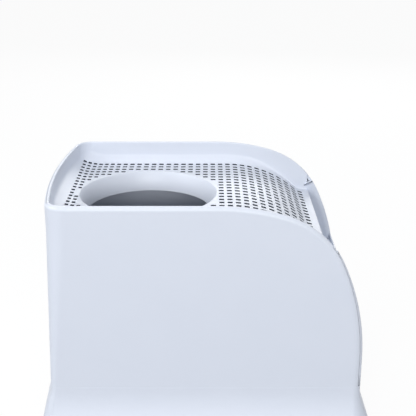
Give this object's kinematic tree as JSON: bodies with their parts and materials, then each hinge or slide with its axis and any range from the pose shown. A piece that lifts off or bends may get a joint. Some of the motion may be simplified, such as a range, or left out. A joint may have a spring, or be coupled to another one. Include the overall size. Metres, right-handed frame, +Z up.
{
  "type": "top entry litter box",
  "caption": "Tall covered cat litter box with a round top entry in a hinged perforated deck that falls to the front, over a pull-out pan drawer and a flared base.",
  "frame": {"origin": "centre of the bounding box in plan, on the ground under the rubber feet", "axes": "+X towards the front, where the deck falls and the drawer pulls out; +Y to the left long side as seen from the rear; +Z up"},
  "size_m": [0.582, 0.432, 0.41],
  "materials": {
    "shell": "satin moulded polypropylene, pale blue grey",
    "deck": "satin moulded polypropylene, pale blue grey",
    "pan": "matte moulded polypropylene, dark slate",
    "runner": "slick natural acetal",
    "rubber": "soft dark grey rubber",
    "steel": "zinc plated"
  },
  "bodies": {
    "base": {"base_plinth": "shell", "left_runner": "runner", "right_runner": "runner", "rubber_feet": "rubber", "drawer_bumper": "rubber"},
    "hood": {"body_shell": "shell", "front_bridge": "deck", "bridge_screws": "steel", "lid_buffers": "rubber"},
    "lid": {"deck_lid": "deck", "entry_collar": "deck", "left_hinge_pin": "steel", "right_hinge_pin": "steel"},
    "drawer": {"litter_pan": "pan", "drawer_front": "shell", "front_screws": "steel"}
  },
  "joints": [
    {"name": "hood_lift", "type": "slide", "parent": "base", "child": "hood", "axis": [0, 0, 1], "range_m": [0, 0.15]},
    {"name": "lid_hinge", "type": "hinge", "parent": "hood", "child": "lid", "pos_m": [-0.212, 0, 0.402], "axis": [0, -1, 0], "range_deg": [0, 100]},
    {"name": "drawer_slide", "type": "slide", "parent": "base", "child": "drawer", "axis": [1, 0, 0], "range_m": [0, 0.42]}
  ]
}
